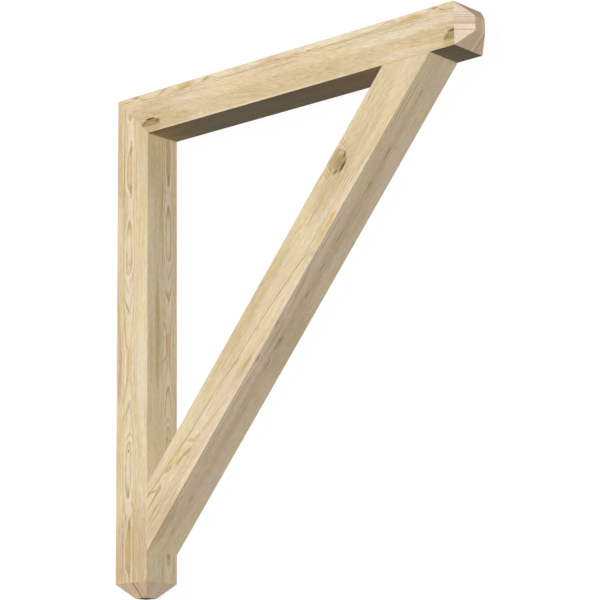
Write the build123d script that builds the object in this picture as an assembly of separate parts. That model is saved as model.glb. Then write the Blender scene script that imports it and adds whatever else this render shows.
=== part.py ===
"""Timber bracket: a wall post and a top beam mitred together, with a diagonal brace between them.

The bracket lies flat on one side, as it is stored. +X runs out from the wall, +Y runs up the wall
and +Z is the bracket's thickness. The origin is at the middle of the bracket's box, on the ground.
All sizes are in millimetres.
"""

import math
import os

from build123d import *

INCH = 25.4

# Driving dimensions
STOCK = 4 * INCH  # side of the square rough-sawn section that all three timbers are cut from
PROJECTION = 42 * INCH  # wall face to the outer end of the top beam
HEIGHT = 48 * INCH  # lower end of the post to the top of the beam
END_BEVEL = 1.3125 * INCH  # 45 degree bevel on the four edges of each free end
FOOT_OFFSET = 4 * INCH  # post's lower end up to the brace's outer edge
HEAD_OFFSET = 4 * INCH  # beam's outer end back to the brace's outer edge

# Faces of the post and the beam, worked out from the driving dimensions
WALL_X = -PROJECTION / 2
OUTER_X = WALL_X + PROJECTION
BASE_Y = -HEIGHT / 2
TOP_Y = BASE_Y + HEIGHT
POST_INNER_X = WALL_X + STOCK
BEAM_UNDER_Y = TOP_Y - STOCK

# Outer edge of the brace, from the post's inner face to the beam's underside
BRACE_FOOT_Y = BASE_Y + FOOT_OFFSET
BRACE_HEAD_X = OUTER_X - HEAD_OFFSET
BRACE_SLOPE = math.atan2(BEAM_UNDER_Y - BRACE_FOOT_Y, BRACE_HEAD_X - POST_INNER_X)

# Lengths of the two seat cuts that the square brace needs at that slope
PLUMB_CUT = STOCK / math.cos(BRACE_SLOPE)
LEVEL_CUT = STOCK / math.sin(BRACE_SLOPE)


def sawn_timber(*outline):
    """A timber with this side outline in the bracket's plane, as thick as the stock."""
    side = make_face(Polyline(*outline, close=True))
    return extrude(side, amount=STOCK)


def block_end(end_face):
    """The timber of this free end, with the end's four edges bevelled down to a small square."""
    return chamfer(end_face.edges(), END_BEVEL)


def wall_post():
    """Upright against the wall: mitred at the top, with a block end at the bottom."""
    post = sawn_timber(
        (WALL_X, BASE_Y),
        (POST_INNER_X, BASE_Y),
        (POST_INNER_X, BEAM_UNDER_Y),
        (WALL_X, TOP_Y),
    )
    return block_end(post.faces().sort_by(Axis.Y)[0])


def top_beam():
    """Beam under the load: mitred at the wall, with a block end at its outer end."""
    beam = sawn_timber(
        (WALL_X, TOP_Y),
        (POST_INNER_X, BEAM_UNDER_Y),
        (OUTER_X, BEAM_UNDER_Y),
        (OUTER_X, TOP_Y),
    )
    return block_end(beam.faces().sort_by(Axis.X)[-1])


def diagonal_brace():
    """Brace with a plumb cut against the post's inner face and a level cut under the beam."""
    return sawn_timber(
        (POST_INNER_X, BRACE_FOOT_Y),
        (BRACE_HEAD_X, BEAM_UNDER_Y),
        (BRACE_HEAD_X - LEVEL_CUT, BEAM_UNDER_Y),
        (POST_INNER_X, BRACE_FOOT_Y + PLUMB_CUT),
    )


TIMBERS = {
    "wall_post": wall_post(),
    "top_beam": top_beam(),
    "diagonal_brace": diagonal_brace(),
}

os.makedirs("parts", exist_ok=True)
for name, timber in TIMBERS.items():
    export_step(timber, f"parts/{name}.step")
    print(f"{name}: {timber.volume / 1e6:.3f} litres, box {timber.bounding_box().size}")
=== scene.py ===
# %% [markdown]
# # A rough-sawn timber bracket
#
# This bracket is three square timbers: a post against the wall, a beam on top and a diagonal brace
# between them. The joinery is simple and exact, so nearly all that the eye reads is wood: growth
# rings cut by the saw, a few knots, pink end grain on the bevelled ends.
#
# The lesson goes in this order: read the sizes from the frame, build the timbers by one rule, grow
# the wood inside them, and then set up the studio and the camera.

# %% Load the frame
import math
import random

import bpy
from mathutils import Matrix, Vector


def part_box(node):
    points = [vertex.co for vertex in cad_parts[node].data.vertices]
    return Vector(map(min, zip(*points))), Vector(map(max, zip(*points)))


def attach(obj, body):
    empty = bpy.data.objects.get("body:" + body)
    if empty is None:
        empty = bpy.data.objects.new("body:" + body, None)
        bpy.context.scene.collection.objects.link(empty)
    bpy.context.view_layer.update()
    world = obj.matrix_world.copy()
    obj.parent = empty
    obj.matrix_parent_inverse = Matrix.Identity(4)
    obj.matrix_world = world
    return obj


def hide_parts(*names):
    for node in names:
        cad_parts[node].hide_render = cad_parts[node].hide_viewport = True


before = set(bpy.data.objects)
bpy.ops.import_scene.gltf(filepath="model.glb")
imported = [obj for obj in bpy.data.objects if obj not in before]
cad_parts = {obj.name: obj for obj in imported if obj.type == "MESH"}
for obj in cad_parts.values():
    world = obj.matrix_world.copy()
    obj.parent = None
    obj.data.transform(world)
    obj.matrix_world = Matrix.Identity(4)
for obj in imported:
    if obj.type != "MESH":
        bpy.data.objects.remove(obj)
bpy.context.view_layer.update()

# %% [markdown]
# ## Reading the joinery
#
# The frame is the finished joinery, so no size is typed in again here. The boxes of the three nodes
# give the stock and the faces that meet. The brace runs from corner to corner of its own box, so
# that box also gives its slope. The bevel of the block ends is measured on the post's free end.

# %% Sizes from the frame
MM = 0.001
post_low, post_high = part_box("wall_post")
_, beam_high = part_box("top_beam")
brace_low, brace_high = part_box("diagonal_brace")

stock = post_high.z - post_low.z
free_end = [v.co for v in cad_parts["wall_post"].data.vertices if v.co.y < post_low.y + MM]
end_bevel = min(co.x for co in free_end) - post_low.x
brace_slope = math.atan2(brace_high.y - brace_low.y, brace_high.x - brace_low.x)
print(f"stock {stock / MM:.1f} mm, bevel {end_bevel / MM:.1f} mm, slope {math.degrees(brace_slope):.2f} deg")

# %% [markdown]
# Each timber gets a centre line from its joint to its other end. From here on, a place on a timber
# is given in the timber's own measures: *along* from the start of that line, *across* to the left of
# it, and *up* from the side that the bracket lies on. A cut is the tangent of its slant: how far the
# end runs along the timber for each step across it. A square end has none, and a mitre has 1.

# %% Centre lines and end cuts
mitre_centre = Vector((post_low.x + stock / 2, post_high.y - stock / 2, 0))
plumb_cut = stock / math.cos(brace_slope)
level_cut = stock / math.sin(brace_slope)

TIMBERS = {
    "wall_post": {
        "start": mitre_centre,
        "end": Vector((mitre_centre.x, post_low.y, 0)),
        "start_cut": 1.0,
        "end_cut": 0.0,
        "bevel": end_bevel,
    },
    "top_beam": {
        "start": mitre_centre,
        "end": Vector((beam_high.x, mitre_centre.y, 0)),
        "start_cut": -1.0,
        "end_cut": 0.0,
        "bevel": end_bevel,
    },
    "diagonal_brace": {
        "start": Vector((brace_low.x, brace_low.y + plumb_cut / 2, 0)),
        "end": Vector((brace_high.x - level_cut / 2, brace_high.y, 0)),
        "start_cut": math.tan(brace_slope),
        "end_cut": -1 / math.tan(brace_slope),
        "bevel": 0.0,
    },
}
for name, timber in TIMBERS.items():
    run = timber["end"] - timber["start"]
    timber["length"] = run.length
    timber["turn"] = math.atan2(run.y, run.x)
    print(f"{name}: {run.length / MM:.1f} mm long, turned {math.degrees(timber['turn']):.2f} deg")

# %% [markdown]
# ## One helper for every node tree
#
# Geometry trees and material trees are both nodes and links, so one helper serves both. It adds a
# node, sets its options, and fills its inputs: a socket or a node is linked, anything else is a
# value. Giving a node stands for its first output, which keeps long sums short.

# %% The helper
def add_node(tree, kind, inputs=None, **settings):
    """Adds a node with its settings, and links or fills its inputs."""
    node = tree.nodes.new(kind)
    for name, value in settings.items():
        setattr(node, name, value)
    for key, value in (inputs or {}).items():
        by_name = (s for s in node.inputs if s.enabled and s.name == key)
        socket = node.inputs[key] if isinstance(key, int) else next(by_name)
        if isinstance(value, bpy.types.Node):
            value = next(s for s in value.outputs if s.enabled)
        if isinstance(value, bpy.types.NodeSocket):
            tree.links.new(value, socket)
        else:
            socket.default_value = value
    return node


def linear(hex_colour):
    """An sRGB colour such as #E0CBA0 as linear red, green, blue and alpha."""
    # The numbers are those of the sRGB curve: a straight line near black, and a power above it.
    channels = [int(hex_colour[i:i + 2], 16) / 255 for i in (1, 3, 5)]
    return [c / 12.92 if c <= 0.04045 else ((c + 0.055) / 1.055) ** 2.4 for c in channels] + [1.0]


print("the middle of the wood's colours is", [round(c, 3) for c in linear("#E0CBA0")])

# %% [markdown]
# ## The timbers
#
# A sawn timber follows a rule: a square section drawn along a straight line, with a plane cut at
# each end. That is work for Geometry Nodes, and one tree makes all three. A row of points becomes
# the rail, a square outline is swept along it, and then each point is moved:
#
# - towards the ends, points shift along the timber in step with how far across they lie, which turns
#   the square ends into a mitre or a seat cut;
# - past the start of a block end, the section shrinks as fast as it moves on, which is a 45 degree
#   bevel on all four sides;
# - the sides get the shallow ripple that a saw blade leaves. It only goes inwards, so the timber never
#   outgrows its size.
#
# A scaled cube with a boolean at each end would give the same outline, but then its faces would be
# single large polygons with nothing for the ripple to move.

# %% The rail and the section
SQUARE_SIDES = 4.0


def timber_rail(tree, sizes, body):
    """A row of points along the timber, evenly spaced to the bevel and then to the end."""
    stretches = []
    for length in (body, sizes["Bevel"]):
        steps = add_node(tree, "ShaderNodeMath", {0: length, 1: sizes["Step"]}, operation="DIVIDE")
        stretches.append(add_node(tree, "ShaderNodeMath", {0: steps}, operation="CEIL"))
    body_steps, bevel_steps = stretches
    steps = add_node(tree, "ShaderNodeMath", {0: body_steps, 1: bevel_steps}, operation="ADD")
    count = add_node(tree, "ShaderNodeMath", {0: steps, 1: 1.0}, operation="ADD")
    row = add_node(tree, "GeometryNodeMeshLine", {"Count": count}, mode="OFFSET")
    index = add_node(tree, "GeometryNodeInputIndex")
    in_body = add_node(tree, "ShaderNodeMath", {0: index, 1: body_steps}, operation="MINIMUM")
    past_body = add_node(tree, "ShaderNodeMath", {0: index, 1: in_body}, operation="SUBTRACT")
    body_step = add_node(tree, "ShaderNodeMath", {0: body, 1: body_steps}, operation="DIVIDE")
    bevel_step = add_node(tree, "ShaderNodeMath", {0: sizes["Bevel"], 1: bevel_steps}, operation="DIVIDE")
    along = add_node(tree, "ShaderNodeMath", {0: in_body, 1: body_step}, operation="MULTIPLY")
    along = add_node(
        tree, "ShaderNodeMath", {0: past_body, 1: bevel_step, 2: along}, operation="MULTIPLY_ADD",
    )
    place = add_node(tree, "ShaderNodeCombineXYZ", {"X": along})
    placed = add_node(tree, "GeometryNodeSetPosition", {"Geometry": row, "Position": place})
    return add_node(tree, "GeometryNodeMeshToCurve", {"Mesh": placed})


def square_section(tree, sizes):
    """The square outline of the stock, with points a step apart on each side."""
    square = add_node(
        tree, "GeometryNodeCurvePrimitiveQuadrilateral",
        {"Width": sizes["Section"], "Height": sizes["Section"]}, mode="RECTANGLE",
    )
    side_steps = add_node(tree, "ShaderNodeMath", {0: sizes["Section"], 1: sizes["Step"]}, operation="DIVIDE")
    side_steps = add_node(tree, "ShaderNodeMath", {0: side_steps}, operation="ROUND")
    points = add_node(tree, "ShaderNodeMath", {0: side_steps, 1: SQUARE_SIDES}, operation="MULTIPLY")
    return add_node(tree, "GeometryNodeResampleCurve", {"Curve": square, "Count": points}, mode="COUNT")


for name, timber in TIMBERS.items():
    print(f"{name}: {(timber['length'] - timber['bevel']) / MM:.1f} mm of full section on its centre line")

# %% [markdown]
# The two rules that shape the ends work on every point of the sweep. Both are plain sums, so the
# faces stay exactly flat, and the points of neighbouring rings never cross.

# %% End cuts and block ends
def shaped_ends(tree, sweep, sizes, body):
    """The sweep with its ends slanted by the cuts and drawn in by the bevel."""
    place = add_node(tree, "ShaderNodeSeparateXYZ", {0: add_node(tree, "GeometryNodeInputPosition")})
    along, across, up = (place.outputs[axis] for axis in "XYZ")

    share = add_node(tree, "ShaderNodeMath", {0: along, 1: body}, operation="DIVIDE", use_clamp=True)
    start_cut, end_cut = sizes["Start Cut"], sizes["End Cut"]
    change = add_node(tree, "ShaderNodeMath", {0: end_cut, 1: start_cut}, operation="SUBTRACT")
    cut = add_node(tree, "ShaderNodeMath", {0: change, 1: share, 2: start_cut}, operation="MULTIPLY_ADD")
    slanted = add_node(tree, "ShaderNodeMath", {0: cut, 1: across, 2: along}, operation="MULTIPLY_ADD")

    past = add_node(tree, "ShaderNodeMath", {0: along, 1: body}, operation="SUBTRACT")
    past = add_node(tree, "ShaderNodeMath", {0: past, 1: 0.0}, operation="MAXIMUM")
    half = add_node(tree, "ShaderNodeMath", {0: sizes["Section"], 1: 0.5}, operation="MULTIPLY")
    shrink = add_node(tree, "ShaderNodeMath", {0: past, 1: half}, operation="DIVIDE")
    keep = add_node(tree, "ShaderNodeMath", {0: 1.0, 1: shrink}, operation="SUBTRACT")
    drawn_across = add_node(tree, "ShaderNodeMath", {0: across, 1: keep}, operation="MULTIPLY")
    drawn_up = add_node(tree, "ShaderNodeMath", {0: up, 1: keep, 2: half}, operation="MULTIPLY_ADD")
    moved = add_node(tree, "ShaderNodeCombineXYZ", {"X": slanted, "Y": drawn_across, "Z": drawn_up})
    return add_node(tree, "GeometryNodeSetPosition", {"Geometry": sweep, "Position": moved})


for name, timber in TIMBERS.items():
    print(f"{name}: cut {timber['start_cut']:.2f} at its start and {timber['end_cut']:.2f} at its end")

# %% [markdown]
# A band saw leaves fine ridges straight across the timber, and the timber itself moves a little as
# it dries. Real ridges are 2 to 3 mm apart, which is finer than the mesh, so here they are drawn
# wider and very shallow. A noise field bends them so that no two are quite alike.

# %% Saw ripple
BEND_SIZE = 90 * MM
BEND_TURNS = 5.0
BEND_DETAIL = 2.0
HALF_INWARD = -0.5


def saw_ripple(tree, timber, sizes):
    """The timber with shallow ridges across it, cut inwards from its sides."""
    position = add_node(tree, "GeometryNodeInputPosition")
    noise = add_node(
        tree, "ShaderNodeTexNoise",
        {"Vector": position, "W": sizes["Seed"], "Scale": 1 / BEND_SIZE, "Detail": BEND_DETAIL},
        noise_dimensions="4D",
    )
    along = add_node(tree, "ShaderNodeSeparateXYZ", {0: position})
    turns = add_node(tree, "ShaderNodeMath", {0: along, 1: sizes["Ripple Pitch"]}, operation="DIVIDE")
    bent = add_node(tree, "ShaderNodeMath", {0: noise, 1: BEND_TURNS, 2: turns}, operation="MULTIPLY_ADD")
    phase = add_node(tree, "ShaderNodeMath", {0: bent, 1: math.tau}, operation="MULTIPLY")
    wave = add_node(tree, "ShaderNodeMath", {0: phase}, operation="SINE")
    # A sine goes from -1 to 1. Half of it less a half goes from -1 to 0, so it never points outwards.
    depth = add_node(
        tree, "ShaderNodeMath", {0: wave, 1: HALF_INWARD, 2: HALF_INWARD}, operation="MULTIPLY_ADD",
    )
    depth = add_node(tree, "ShaderNodeMath", {0: depth, 1: noise}, operation="MULTIPLY")
    depth = add_node(tree, "ShaderNodeMath", {0: depth, 1: sizes["Ripple Depth"]}, operation="MULTIPLY")
    inward = add_node(
        tree, "ShaderNodeVectorMath", {0: add_node(tree, "GeometryNodeInputNormal"), "Scale": depth},
        operation="SCALE",
    )
    return add_node(tree, "GeometryNodeSetPosition", {"Geometry": timber, "Offset": inward})


print(f"ridges bend over about {BEND_SIZE / MM:.0f} mm, by up to {BEND_TURNS:.0f} turns")

# %% [markdown]
# The whole tree is those steps in a row. Its sizes are named inputs, so that one tree can be given to
# all three timbers. It lays the timber in its place itself, which lets the object stay at the origin.

# %% The whole tree
TIMBER_SIZES = (
    "Length", "Section", "Bevel", "Start Cut", "End Cut", "Step", "Ripple Pitch", "Ripple Depth", "Seed",
)
TIMBER_INPUTS = dict.fromkeys(TIMBER_SIZES, "NodeSocketFloat")
TIMBER_INPUTS.update(Start="NodeSocketVector", Turn="NodeSocketRotation", Material="NodeSocketMaterial")


def sawn_timber_tree():
    """Sweeps the section, cuts the ends, adds the saw ripple and lays the timber in its place."""
    tree = bpy.data.node_groups.new("sawn_timber", "GeometryNodeTree")
    for name, kind in TIMBER_INPUTS.items():
        tree.interface.new_socket(name, in_out="INPUT", socket_type=kind)
    tree.interface.new_socket("Timber", in_out="OUTPUT", socket_type="NodeSocketGeometry")
    sizes = add_node(tree, "NodeGroupInput").outputs

    body = add_node(tree, "ShaderNodeMath", {0: sizes["Length"], 1: sizes["Bevel"]}, operation="SUBTRACT")
    sweep = add_node(
        tree, "GeometryNodeCurveToMesh",
        {
            "Curve": timber_rail(tree, sizes, body),
            "Profile Curve": square_section(tree, sizes),
            "Fill Caps": True,
        },
    )
    timber = shaped_ends(tree, sweep, sizes, body)
    timber = saw_ripple(tree, timber, sizes)
    laid = add_node(
        tree, "GeometryNodeTransform",
        {"Geometry": timber, "Translation": sizes["Start"], "Rotation": sizes["Turn"]},
    )
    plain = add_node(tree, "GeometryNodeRealizeInstances", {"Geometry": laid})
    finished = add_node(tree, "GeometryNodeSetMaterial", {"Geometry": plain, "Material": sizes["Material"]})
    add_node(tree, "NodeGroupOutput", {"Timber": finished})
    return tree


timber_tree = sawn_timber_tree()
print("timber tree:", len(timber_tree.nodes), "nodes")

# %% [markdown]
# ## Growing the wood
#
# A timber is cut from a tree, so all its faces are slices of the same growth rings. The wood here
# starts from that. Each point asks how far it is from the pith, the centre of the tree, and that
# distance, counted in rings, says whether it lies in pale earlywood or in a darker line of latewood.
# The saw does the rest: a face that grazes the rings shows long loops, and a face that crosses them
# shows straight lines.
#
# What makes each timber different is where its pith lies, how the stem swelled and drifted along it,
# and what it picked up: knots, pitch, stain. Those follow no rule, so they are read off the visible
# faces and drawn in as strokes.

# %% Colours of the wood
EARLYWOOD_YELLOW = "#E7D4A8"
EARLYWOOD_PINK = "#E8D1B2"
EARLYWOOD_TAN = "#CDB384"
EARLYWOOD_BUFF = "#C8AF8F"
EARLYWOOD_OLIVE = "#E4D7B3"
EARLYWOOD_GOLD = "#E3C98E"
RING_PALE = "#F1E4C8"
RING_PINK = "#EDD5BB"
LATEWOOD = "#BE9A63"
PITCH_YELLOW = "#D8B872"
PITCH_ORANGE = "#CFA258"
PITCH_BROWN = "#A4844E"
STAIN_PINK = "#C79E78"
STAIN_OLIVE = "#C3B47F"
KNOT_TAN = "#C2A877"
KNOT_BROWN = "#9C8056"
KNOT_DARK = "#80633B"
KNOT_RIM = "#4C3320"
print("the wood's colours go from", RING_PALE, "in young earlywood to", KNOT_RIM, "on a knot's rim")

# %% [markdown]
# Each timber's wood is one dictionary, in millimetres of the timber's own measures.
#
# - `seed` makes its noise and its chances its own.
# - `pith` is across and up, `ring` the width of a year, and `first_line` the distance of the first
#   strong line from the pith. `innermost` is the ring at which the counting stops.
# - `line` is the strength of the lines, and `clear` tells how it changes with the distance.
# - `wander` is how far the rings waver, slowly across and up and then in the small. `lean` skews the
#   loops, and `slant` is the angle of the fibres in degrees.
# - `swell` and `drift` move the rings outwards and sideways, at stations along the timber.
# - `right_face_painted_shading` is painted shade or painted light on the right face, and `end_painted_shade`
#   is painted shade on the square of a block end and on its left bevel.
# - `end_colours` are the pale of the bevel that faces up, the pale of the other end faces, and the dark
#   of the bands. Where the two pales differ, that is painted light and shade between the facets.
#   `near_bands` and `end_bands` are shares of that dark: across the timber on the bevel that faces up,
#   and from the bottom up on the others.
# - `knots` are places on the near face, each with half its length and half its width.
# - `zones` are broad and lie under the rings, `marks` are narrow and lie over them. Both go by face and
#   tint. The near face is the one that faces up, and left and right are as seen along the timber. A
#   stroke is its start, its end, half its width and its strength.

# %% [markdown]
# On the post's near face the saw ran nearly along the rings. Where the stem swelled or narrowed a
# little, it cut through a few rings more or a few less, and the face shows a chain of long eyes. The
# swelling makes them, so their lines close by themselves, as lines drawn one by one would not.

# %% The post: a chain of long eyes
WOOD = {}
WOOD["wall_post"] = {
    "seed": 3.0,
    "pith": (-10.4, 29),
    "ring": 1.9,
    "first_line": 73.16,
    "innermost": -7.0,
    "line": 0.68,
    "clear": [(60, 1.45), (67, 1.4), (70, 0.9), (71.5, 0.2), (72.3, 1), (79, 0.8), (86, 0.15)],
    "wander": (0.5, 0.3, 0.45),
    "lean": 0.6,
    "slant": 0,
    "right_face_painted_shading": (1.0, 1.0, 1.0),
    # Painted shade: the square end of the post's foot is darkened.
    "end_painted_shade": (0.45, 1.0),
    "swell": [
        (0, 0.3), (36, 0.95), (63, 0.56), (76, 0.5), (100, 0.14), (134, 0), (168, 0.14), (192, 0.5),
        (205, 0.56), (231, 0.95), (258, 0.56), (270, 0.3), (290, -0.05), (327, -0.2), (352, -0.18),
        (374, -0.1), (386, 0.08), (392, 0.3), (395, 0.56), (440, 2.46), (495, 4.36), (560, 5.3),
        (590, 5.8), (640, 5.8), (672, 5.2), (705, 4.36), (745, 3.4), (780, 2.46), (800, 0.56), (804, 0.3),
        (811, 0.08), (823, -0.1), (843, -0.18), (868, -0.2), (905, -0.05), (924, 0.3), (935, 0.56),
        (960, 0.95), (985, 0.56), (1000, 0.5), (1024, 0.14), (1057, 0), (1094, 0.14), (1118, 0.5),
        (1130, 0.56), (1168, 0.95),
    ],
    "drift": [
        (0, -2), (63, -5), (96, -1), (134, 0), (172, -1), (205, -5), (232, -2), (258, 0), (935, 0),
        (960, -2), (985, -5), (1018, -1), (1057, 0), (1098, -1), (1130, -5), (1168, -5),
    ],
    "end_colours": ("#FFE3BC", "#F8E1C2", "#BA8250"),
    "near_bands": [
        (-51, 0.2), (-36, 0.15), (-31, 0.4), (-27, 0.15), (-22, 0.35), (-18, 0.15), (-2, 0.25), (3, 0.4),
        (5, 0.8), (8, 0.8), (9.5, 0), (12, 0), (14, 0.4), (21, 0.35), (24, 0.05), (28, 0.35), (32, 0.05),
        (36, 0.3), (40, 0.05), (44, 0.3), (51, 0.15),
    ],
    "end_bands": [(0, 0.1), (30, 0.15), (55, 0.05), (75, 0.2), (101, 0.1)],
    "knots": [],
    "zones": {
        ("near", EARLYWOOD_TAN): [
            (170, 34, 250, 38, 10, 0.5), (920, 12, 1240, 12, 42, 0.8), (0, 30, 100, 38, 16, 0.5),
            (-40, -44, 230, -44, 12, 0.75), (940, 38, 1250, 36, 20, 0.95), (500, -40, 720, -40, 9, 0.75),
            (960, -42, 1230, -42, 14, 0.8), (120, 40, 280, 38, 12, 0.5), (0, 33, 230, 33, 13, 0.4),
        ],
        ("near", EARLYWOOD_BUFF): [(955, 4, 1155, 4, 56, 0.5)],
        ("near", EARLYWOOD_OLIVE): [(60, 36, 190, 36, 16, 0.5)],
        ("near", EARLYWOOD_GOLD): [
            (190, 30, 430, 34, 16, 0.6), (440, -44, 560, -44, 8, 0.6), (700, -42, 960, -42, 9, 0.6),
        ],
        ("near", RING_PALE): [
            (510, 34, 820, 36, 17, 0.7), (740, 12, 940, 10, 9, 0.5), (240, -14, 530, -14, 12, 0.5),
            (650, -14, 970, -14, 12, 0.5), (740, -2, 990, -8, 12, 0.45), (60, -18, 230, -18, 8, 0.5),
        ],
        ("left", EARLYWOOD_OLIVE): [(-60, 60, 1240, 60, 60, 0.7)],
        ("left", RING_PALE): [(40, 26, 900, 26, 26, 0.35)],
        ("left", EARLYWOOD_TAN): [
            (-60, 66, 230, 66, 42, 0.5), (1040, 50, 1170, 50, 44, 0.3), (420, 66, 690, 66, 9, 0.7),
        ],
    },
    "marks": {
        ("left", EARLYWOOD_OLIVE): [
            (240, 88, 760, 86, 15, 0.6), (1060, 30, 1150, 30, 26, 0.5), (1050, 80, 1170, 80, 26, 0.3),
        ],
        ("left", RING_PINK): [
            (168, 30, 222, 31, 10, 0.8), (522, 43, 602, 42, 6, 0.9), (360, 40, 420, 36, 7, 0.5),
        ],
        ("left", EARLYWOOD_GOLD): [(508, 28, 612, 27, 8, 0.7)],
        ("left", STAIN_OLIVE): [
            (380, 67, 700, 67, 8, 0.55), (490, 52, 660, 52, 8, 0.4), (490, 86, 660, 86, 9, 0.4),
            (160, 54, 320, 56, 4, 0.5),
        ],
        ("left", LATEWOOD): [
            (20, 50, 420, 50, 2, 0.6), (40, 30, 170, 29, 7, 0.5), (505, 48, 536, 36, 2, 0.8),
            (532, 36, 590, 34, 2, 0.8), (586, 34, 612, 46, 2, 0.8), (470, 50, 500, 44, 1.8, 0.6),
            (690, 40, 660, 24, 2.2, 0.7), (430, 42, 458, 26, 2.2, 0.7), (1066, 48, 1140, 48, 1.8, 0.7),
            (1066, 11, 1140, 11, 1.8, 0.6),
        ],
        ("left", PITCH_BROWN): [
            (140, 29, 172, 28, 5, 0.55), (219, 31, 252, 31, 4.5, 0.4), (785, 34, 800, 30, 3, 0.6),
        ],
        ("left", RING_PALE): [(246, 29, 345, 29, 6.5, 0.55)],
        ("left", KNOT_BROWN): [(1030, 29, 1106, 28, 8.5, 0.5)],
        ("near", RING_PINK): [
            (298, -11, 352, -11, 4.5, 0.8), (845, -11, 893, -12, 4.5, 0.8), (8, -10, 64, -8, 9, 0.6),
            (202, -8, 262, -10, 10, 0.6), (394, -12, 446, -12, 12, 0.6), (934, -11, 988, -10, 10, 0.7),
            (575, -20, 660, -24, 5, 0.6),
        ],
        ("near", EARLYWOOD_GOLD): [
            (92, -10, 176, -10, 6, 0.6), (545, -6, 655, -6, 6, 0.75), (372, -10, 396, -10, 5, 0.5),
            (1020, -10, 1100, -10, 5, 0.4),
        ],
        ("near", LATEWOOD): [
            (988, -9, 1128, -9, 7, 0.35), (452, -29, 498, -2, 2.4, 0.6), (500, -26, 565, -19, 2, 0.7),
            (20, 14, 260, 13, 1.6, 0.5), (790, 12, 960, 13, 1.5, 0.4), (702, -1, 750, -32, 2.6, 0.6),
            (554, -24, 578, -12, 2.2, 0.5), (636, -12, 726, -35, 2.4, 0.65),
            (570, -12, 645, -12, 1.8, 0.5),
        ],
        ("near", STAIN_PINK): [
            (-60, -27, 310, -28, 2.6, 0.8), (910, -28, 1190, -28, 2.6, 0.7),
            (520, -38, 700, -38, 6, 0.45), (430, -45, 570, -43, 2.2, 0.6), (625, -43, 735, -45, 2.2, 0.6),
            (150, -32, 240, -31, 5, 0.5),
        ],
        ("near", PITCH_BROWN): [
            (60, -4, 98, -8, 3.6, 0.35), (168, -8, 208, -4, 3.6, 0.35), (256, -10, 286, -11, 4, 0.35),
            (906, -11, 938, -11, 5, 0.45), (983, -4, 1014, -8, 3.6, 0.35),
            (1092, -8, 1134, -4, 3.6, 0.35), (364, -9, 372, -9, 2.6, 0.9), (820, -10, 828, -10, 2.6, 0.9),
        ],
    },
}
print("the post swells and narrows at", len(WOOD["wall_post"]["swell"]), "stations")

# %% [markdown]
# The beam's pith lay beyond its top edge. Inside the first strong ring line the wood is golden with
# pitch, and the line wavers as the pith drifts. Below it the face is plain, with short slanting
# fibres. A knot sits on the lower edge near each end.

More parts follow.
